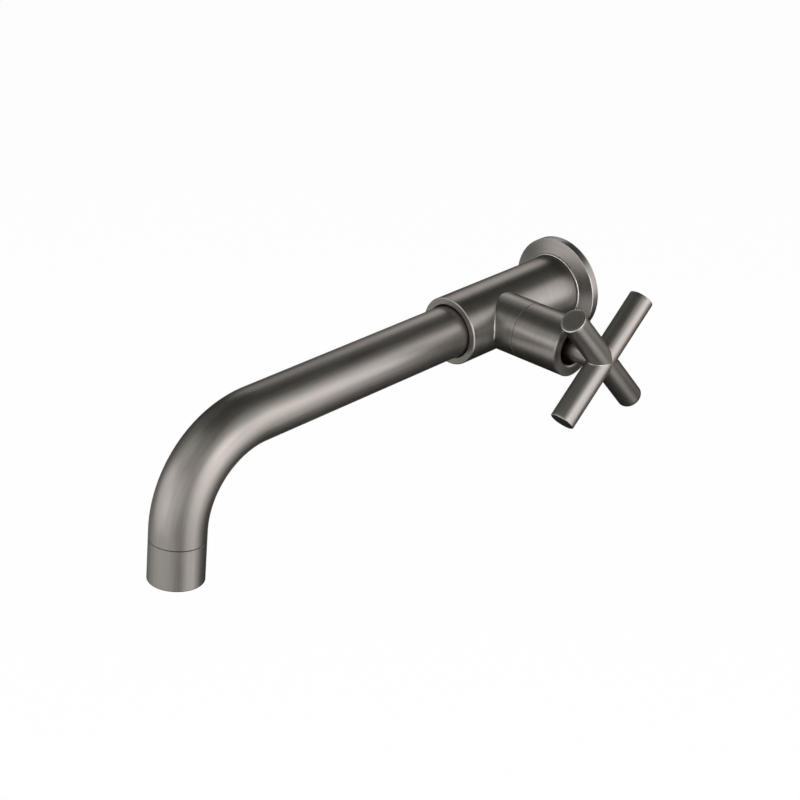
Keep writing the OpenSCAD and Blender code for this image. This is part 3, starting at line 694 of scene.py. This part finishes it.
def satin_gunmetal(name, seam_at, about=None, lengthwise=True, stretch=STRETCH, body=False):
    """Brushed coat with painted shade in the seam at seam_at: an axis, its centre and the run
    along it.

    about is the axis and centre that the brush lines follow. Without it they follow the layers
    that the piece brings. body adds the lines and the painted edge highlight that only the body
    has.
    """
    made = bpy.data.materials.new(name)
    tree = empty_tree(made)
    if about is None:
        source = add(tree, "Attribute", attribute_name="straight").outputs["Vector"]
        lines, _ = brush_lines(tree, source, *STRAIGHT_TUBE, lengthwise)
        round_it = add(tree, "Attribute", attribute_name="round_it").outputs["Vector"]
    else:
        source = add(tree, "TexCoord").outputs["Object"]
        lines, round_it = brush_lines(tree, source, *about, lengthwise)
    painted_highlight = add(tree, "Attribute", attribute_name="painted_highlight").outputs["Fac"]
    if body:
        lines, round_it, painted_highlight = body_lines_and_highlight(tree, source, lines, round_it, painted_highlight)
    clouds = add(tree, "TexNoise", {"Vector": source, "Scale": 1 / CLOUD, "Detail": 2.0})
    depth = add(tree, "MapRange", {"Value": lines, "From Min": 0.32, "From Max": 0.68})
    tint = add(tree, "Mix", {"Factor": depth, 6: linear(COAT_DEEP), 7: linear(COAT_HIGH)},
               data_type="RGBA")
    cloudy = add(tree, "MapRange", {"Value": clouds, "From Min": 0.3, "From Max": 0.7,
                                    "To Max": 0.5})
    tint = add(tree, "Mix", {"Factor": cloudy, 6: tint.outputs[2], 7: linear(COAT_CLOUD)},
               data_type="RGBA")
    # Painted highlight: edges are lightened nearly to white.
    tint = add(tree, "Mix", {"Factor": painted_highlight, 6: tint.outputs[2], 7: linear(EDGE_HIGHLIGHT_PAINT)},
               data_type="RGBA")
    # Painted shade: seams are darkened nearly to black.
    tint = add(tree, "Mix", {"Factor": painted_seam_shade(tree, source, *seam_at),
                             6: tint.outputs[2], 7: linear(SEAM_PAINTED_SHADE)}, data_type="RGBA")
    rubbed = add(tree, "Mix", {"Factor": 0.35, 2: lines, 3: clouds})
    gloss = add(tree, "MapRange", {"Value": rubbed, "From Min": 0.35, "From Max": 0.65,
                                   "To Min": ROUGH_LOW, "To Max": ROUGH_HIGH})
    gloss = add(tree, "Mix", {"Factor": painted_highlight, 2: gloss, 3: EDGE_HIGHLIGHT_ROUGH})
    bump = add(tree, "Bump", {"Height": lines, "Strength": 0.5, "Distance": LINE_DEPTH})
    turned = add(tree, "VectorTransform", {"Vector": round_it}, vector_type="VECTOR",
                 convert_from="OBJECT", convert_to="WORLD")
    shader = add(tree, "BsdfPrincipled", {
        "Base Color": tint.outputs[2], "Roughness": gloss, "Normal": bump, "Metallic": 1.0,
        "Specular Tint": linear(COAT_RIM), "Tangent": turned, "Anisotropic": stretch,
        "Anisotropic Rotation": 0.0 if lengthwise else 0.25})
    add(tree, "OutputMaterial", {"Surface": shader})
    return made


# %% [markdown]
# The flange and the barrel were brushed while they turned, so their lines run round the
# barrel's axis. The branch of the same casting was brushed round its own axis, and so
# was the sleeve. The collar's lines run along the outlet, which leans by the bend. The
# round end of an arm was brushed flat, so it has the coat without the stretched shine.

# %% The coat on each kind of piece
branch_len = 27.5
OUTLET = ((0, -math.cos(bend_turn), -math.sin(bend_turn)),
          (0, (-bend_start - bend_r * math.sin(bend_turn)) * MM,
           -bend_r * (1 - math.cos(bend_turn)) * MM))
BRANCH_SEAM, OUTLET_SEAM = (*BRANCH, branch_len), (*OUTLET, tail_len)
TUBE_SEAM = (*STRAIGHT_TUBE, spout_end)
gun_along = satin_gunmetal("gunmetal_brushed_along", TUBE_SEAM)
gun_ends = satin_gunmetal("gunmetal_brushed_arm_ends", TUBE_SEAM, stretch=0.0)
gun_flange = satin_gunmetal("gunmetal_turned_flange", BRANCH_SEAM, BARREL, lengthwise=False)
gun_body = satin_gunmetal("gunmetal_turned_body", BRANCH_SEAM, BARREL, lengthwise=False,
                          body=True)
gun_sleeve = satin_gunmetal("gunmetal_turned_sleeve", BRANCH_SEAM, BRANCH, lengthwise=False)
gun_collar = satin_gunmetal("gunmetal_brushed_collar", OUTLET_SEAM, OUTLET)
print("the body's finish has", len(gun_body.node_tree.nodes), "nodes")

# %% [markdown]
# ## Hidden metals
# The parts inside are plain working parts. The nipple, spigot, cage and spindle are
# free-cutting brass, left as the lathe made them: yellow, with fine feed lines and a
# little tarnish. Screws and the clip are stainless steel, machined or stamped, which
# leaves an even grey gloss. The aerator shell is brass with a chrome plate, the
# brightest metal here. Feed lines are as fine as the brush lines, and drawn like them.

# %% Turned brass, stainless steel and chrome plate
STAIN, FEED_DEPTH = 4 * MM, 0.03 * MM


def turned_metal(name, about, dark, light, rough):
    """Plain turned metal: feed lines round an axis, and tarnish in soft patches."""
    made = bpy.data.materials.new(name)
    tree = empty_tree(made)
    source = add(tree, "TexCoord").outputs["Object"]
    lines, _ = brush_lines(tree, source, *about, lengthwise=False)
    stain = add(tree, "TexNoise", {"Vector": source, "Scale": 1 / STAIN, "Detail": 4.0})
    patch = add(tree, "MapRange", {"Value": stain, "From Min": 0.35, "From Max": 0.65})
    tint = add(tree, "Mix", {"Factor": patch, 6: linear(dark), 7: linear(light)},
               data_type="RGBA")
    gloss = add(tree, "MapRange", {"Value": stain, "From Min": 0.3, "From Max": 0.7,
                                   "To Min": rough + 0.08, "To Max": rough - 0.06})
    bump = add(tree, "Bump", {"Height": lines, "Strength": 0.4, "Distance": FEED_DEPTH})
    shader = add(tree, "BsdfPrincipled", {"Base Color": tint.outputs[2], "Roughness": gloss,
                                          "Normal": bump, "Metallic": 1.0})
    add(tree, "OutputMaterial", {"Surface": shader})
    print(name, "from", dark, "to", light)
    return made


brass_barrel = turned_metal("brass_turned_inlet", BARREL, "#B8964E", "#D9BE7C", 0.28)
brass_branch = turned_metal("brass_turned_valve", BRANCH, "#B8964E", "#D9BE7C", 0.28)
steel = turned_metal("stainless_steel_screws", BRANCH, "#A9A7A3", "#C6C5C2", 0.26)
chrome = turned_metal("chrome_plated_shell", OUTLET, "#C9CBCD", "#DDDFE0", 0.12)

# %% [markdown]
# ## Rubber, foam, plastics, fibre and ceramic
# Rings and seals are black nitrile rubber, moulded, with a dull skin. The flange gasket is
# cut from closed-cell foam, so it shows cells about 0.6 mm wide. The strainer and the
# honeycomb are white moulded acetal and the flow regulator a green one, both satin. The
# valve washer is pressed red fibre, and the discs are lapped alumina ceramic, smooth
# and glossy. One function makes them all, because each is one grain of a given width,
# drawn coarser where the real one is too fine to show.

# %% Dull and moulded materials
def moulded(name, dark, light, rough, grain, depth, cells=False, coat=0.0):
    """A non-metal with grain of a real width: colour, gloss and relief all follow it."""
    made = bpy.data.materials.new(name)
    tree = empty_tree(made)
    plain = add(tree, "TexCoord").outputs["Object"]
    if cells:
        skin = add(tree, "TexVoronoi", {"Vector": plain, "Scale": 1 / grain}).outputs["Distance"]
    else:
        skin = add(tree, "TexNoise", {"Vector": plain, "Scale": 1 / grain, "Detail": 3.0})
    broad = add(tree, "TexNoise", {"Vector": plain, "Scale": 1 / (12 * grain), "Detail": 2.0})
    tone = add(tree, "Math", {0: skin, 1: 0.6, 2: broad}, operation="MULTIPLY_ADD")
    spread = add(tree, "MapRange", {"Value": tone, "From Min": 0.5, "From Max": 1.1})
    tint = add(tree, "Mix", {"Factor": spread, 6: linear(dark), 7: linear(light)},
               data_type="RGBA")
    gloss = add(tree, "MapRange", {"Value": spread, "To Min": rough - 0.05,
                                   "To Max": rough + 0.08})
    bump = add(tree, "Bump", {"Height": skin, "Strength": 0.4, "Distance": depth})
    shader = add(tree, "BsdfPrincipled", {"Base Color": tint.outputs[2], "Roughness": gloss,
                                          "Normal": bump, "Coat Weight": coat})
    add(tree, "OutputMaterial", {"Surface": shader})
    print(name, "with grain of", round(grain / MM, 2), "mm")
    return made


rubber = moulded("nitrile_rubber_moulded", "#141414", "#262625", 0.55, 0.3 * MM, 0.02 * MM)
foam = moulded("foam_gasket_closed_cell", "#1B1B1C", "#343434", 0.85, 0.6 * MM, 0.15 * MM,
               cells=True)
fibre = moulded("fibre_washer_pressed", "#8E2F22", "#B04A36", 0.75, 0.2 * MM, 0.03 * MM)
ceramic = moulded("alumina_ceramic_lapped", "#E9E6DD", "#F4F2EC", 0.22, 0.15 * MM, 0.004 * MM,
                  coat=0.3)
white_plastic = moulded("acetal_white_moulded", "#E2E0DA", "#EFEDE8", 0.38, 0.4 * MM,
                        0.006 * MM)
green_plastic = moulded("acetal_green_moulded", "#2F7D57", "#3F9A6D", 0.38, 0.4 * MM,
                        0.006 * MM)

# %% [markdown]
# ## Dress the pieces
# The nodes below keep their CAD shapes and get a finish. The pieces made above stand
# for the rest.

# %% Give every piece its material
finishes = {
    gun_body: ["body_tee"], gun_sleeve: ["valve_sleeve"],
    gun_collar: ["outlet_collar"], brass_barrel: ["spout_spigot"],
    brass_branch: ["valve_cage", "spindle"],
    steel: ["spout_grub_screw", "handle_grub_screw", "spindle_circlip"],
    chrome: ["aerator_insert"], fibre: ["valve_washer"], foam: ["flange_gasket"],
    rubber: ["flange_o_ring", "nipple_o_ring", "spigot_o_rings", "collar_o_ring",
             "aerator_washer", "seat_seal", "spindle_o_rings", "sleeve_o_ring"],
    ceramic: ["fixed_disc", "turning_disc"], green_plastic: ["flow_regulator"],
    white_plastic: ["thrust_washer", "inlet_screen", "flow_straightener"],
}
for finish, names in finishes.items():
    for name in names:
        nodes[name].data.materials.clear()
        nodes[name].data.materials.append(finish)

new_pieces = ((spout, gun_along), (handle, gun_along), (corner, gun_body),
              (flange, gun_flange), (nipple, brass_barrel))
for made, finish in new_pieces:
    made.data.materials.append(finish)
print("pieces with a finish:", sum(map(len, finishes.values())) + len(new_pieces))

# %% [markdown]
# The arms' end faces have their own coat, because a stretched shine has no one direction
# on a round end. A face belongs to an end when its middle lies a whole arm's length out,
# measured along the nearest arm.

# %% The coat on the arms' end faces
end_slack = 0.001

middles = np.empty(3 * len(handle.data.polygons), np.float32)
handle.data.polygons.foreach_get("center", middles)
from_cross = middles.reshape(-1, 3) / MM - [cross_x, branch_y, 0]
at_end = (from_cross @ np.array(directions).T).max(1) > arm_len - end_slack
handle.data.materials.append(gun_ends)
handle.data.polygons.foreach_set("material_index", at_end.astype(np.int32))
print(int(at_end.sum()), "faces lie on the arms' ends")

# %% [markdown]
# ## Studio
# The photo has a white ground, and the metal shows where its lights stood: a large soft
# light on the right, weaker ones in front, at the left front and at the left back, with
# dark cloth above, at the left and below. Lamps with sharp edges would show as spots. So
# the reflections come from a tent around the tap, a dome that only reflections see. Its
# brightness is a sum of soft windows, whose places and levels were fitted to the photo.

# %% Soft windows of the reflection tent
WINDOW_REACH, WINDOW_SOFT, CLOTH_LEVEL = 1.25, 0.5, 0.045


def lobe(direction, azimuth, elevation, wide, tall, level):
    """A soft window: level in its middle, falling to nothing at its edge.

    Azimuth is turned from -Y towards +X, and wide and tall are its half-sizes, all in
    degrees. The fall is a smooth step of the distance to the middle over the size.
    """
    side = np.degrees(np.arctan2(direction[..., 0], -direction[..., 1]))
    rise = np.degrees(np.arcsin(np.clip(direction[..., 2], -1, 1)))
    off = (side - azimuth + 180) % 360 - 180
    reach = np.hypot(off / wide, (rise - elevation) / tall)
    t = np.clip((WINDOW_REACH - reach) / WINDOW_SOFT, 0, 1)
    return level * t * t * (3 - 2 * t)


windows = {  # azimuth, elevation, half-width, half-height, level
    "right, low": (95, -30, 34, 22, 1.1), "right": (95, 2, 34, 22, 1.3),
    "right, high": (95, 34, 34, 22, 0.45), "right, near": (80, 16, 16, 16, 1.1),
    "right back": (140, 10, 30, 24, 1.1), "back": (172, 15, 28, 24, 0.2),
    "left back": (-130, 32, 26, 14, 0.75), "left back, slit": (-143, 20, 12, 16, 1.0),
    "left back, low": (-125, 5, 24, 16, 0.25), "left": (-68, 12, 24, 20, 0.2),
    "left, high": (-72, 44, 26, 18, 0.1), "left, low": (-72, -27, 32, 15, 0.5),
    "left front": (-27, 4, 28, 20, 1.05), "left front, high": (-27, 34, 28, 20, 0.55),
    "front": (10, 5, 24, 20, 0.8), "front, high": (12, 42, 34, 22, 0.35),
    "front, low": (0, -26, 42, 15, 0.65), "right front": (48, 8, 24, 28, 0.35),
}
across, rise = np.meshgrid(np.radians(np.arange(0, 361, 3)),
                           np.radians(np.linspace(-90, 90, 61)))
direction = np.stack([np.cos(rise) * np.cos(across), np.cos(rise) * np.sin(across),
                      np.sin(rise)], -1)
glow = CLOTH_LEVEL + sum(lobe(direction, *window) for window in windows.values())
print("the tent's", len(windows), "windows are at most", round(float(glow.max()), 2), "bright")

# %% [markdown]
# The tent is a ball with faces that look inwards, and each point carries its brightness
# as a layer. Its cloth shines by itself, and is seen by reflections alone, so it lights
# nothing else and casts no shadow. Between the windows it is a little green, as the
# photo's dark tones are.

# %% Reflection tent
tent_r, tent_y = 0.7, -0.1
CLOTH_DARK, CLOTH_LIGHT = "#F8FFF3", "#FFFCFC"

tent_mesh = bpy.data.meshes.new("reflection_tent")
inward_faces = grid_faces(*glow.shape)[:, [0, 3, 2, 1]]
tent_mesh.from_pydata((direction.reshape(-1, 3) * tent_r + [0, tent_y, 0]).tolist(), [],
                      inward_faces.tolist())
give_layer(tent_mesh, "glow", glow.ravel())
tent = put("reflection_tent", tent_mesh)
for ray in ("camera", "diffuse", "transmission", "volume_scatter", "shadow"):
    setattr(tent, "visible_" + ray, False)
cloth = bpy.data.materials.new("tent_cloth")
tree = empty_tree(cloth)
level = add(tree, "Attribute", attribute_name="glow").outputs["Fac"]
lit = add(tree, "MapRange", {"Value": level, "From Min": 0.1, "From Max": 0.9})
colour = add(tree, "Mix", {"Factor": lit, 6: linear(CLOTH_DARK),
                           7: linear(CLOTH_LIGHT)}, data_type="RGBA")
light = add(tree, "Emission", {"Color": colour.outputs[2], "Strength": level})
add(tree, "OutputMaterial", {"Surface": light})
tent_mesh.materials.append(cloth)
print("the tent has", len(tent_mesh.polygons), "faces")

# %% [markdown]
# The floor is a plain white sweep, far enough below the tap that it only fills the
# background, as in the photo. Most of its colour is given to the camera directly, so it
# stays white, and the rest is lit, so it keeps a faint soft shadow. Rays that come off
# metal or through glass are to see white too, so they count as the camera's. The tent
# stands for the floor in the tap's reflections, so there the floor is left out.

# %% White floor
floor_z, floor_half, shown_share = -0.45, 12.0, 0.85
WHITE = (1, 1, 1, 1)


def is_shown(tree):
    """1 on rays of the camera, off a glossy surface or through glass, and else 0."""
    path = add(tree, "LightPath")
    shown = path.outputs["Is Camera Ray"]
    for other in ("Is Glossy Ray", "Is Transmission Ray"):
        shown = add(tree, "Math", {0: shown, 1: path.outputs[other]}, operation="MAXIMUM")
    return shown


floor_mesh = bpy.data.meshes.new("floor")
floor_mesh.from_pydata([(x * floor_half, y * floor_half, floor_z) for x, y in
                        ((-1, -1), (1, -1), (1, 1), (-1, 1))], [], [(0, 1, 2, 3)])
floor = put("floor", floor_mesh)
floor.visible_glossy = False
sweep = bpy.data.materials.new("white_sweep")
tree = empty_tree(sweep)
paper = add(tree, "BsdfPrincipled", {"Base Color": linear("#FAFAFA"), "Roughness": 0.9})
share = add(tree, "Math", {0: is_shown(tree), 1: shown_share}, operation="MULTIPLY")
white = add(tree, "Emission", {"Color": WHITE, "Strength": 1.0})
both = add(tree, "MixShader", {0: share, 1: paper, 2: white})
add(tree, "OutputMaterial", {"Surface": both})
floor_mesh.materials.append(sweep)
print("the floor lies", -floor_z, "m below the tap")

# %% [markdown]
# Two large area lamps and the world light the floor and all that isn't metal, at a plain
# level, where a colour comes out about as it is written. Small lamps would throw hard
# shadows, which the photo doesn't have. Past the floor's edge the world is plain white.

# %% Lamps and world
tap_middle, lamp_size, room_level = Vector((0, -0.12, 0)), 1.2, 0.88


def area_lamp(name, at, watts):
    """A soft square lamp that faces the tap and shows in no reflection."""
    lamp = bpy.data.lights.new(name, "AREA")
    lamp.size, lamp.energy = lamp_size, watts
    holder = put(name, lamp)
    holder.location = at
    holder.rotation_euler = (tap_middle - Vector(at)).to_track_quat("-Z", "Y").to_euler()
    holder.visible_glossy = False
    print(name, "has", watts, "W")


area_lamp("lamp_right", (1.5, -0.3, 0.9), 8)
area_lamp("lamp_left_front", (-0.7, -1.5, 1.0), 5)

world = bpy.data.worlds.new("studio")
bpy.context.scene.world = world
tree = empty_tree(world)
room = add(tree, "Background", {"Color": WHITE, "Strength": room_level})
ground = add(tree, "Background", {"Color": WHITE, "Strength": 1.0})
both = add(tree, "MixShader", {0: is_shown(tree), 1: room, 2: ground})
add(tree, "OutputWorld", {"Surface": both})
bpy.context.scene.view_settings.view_transform = "Standard"
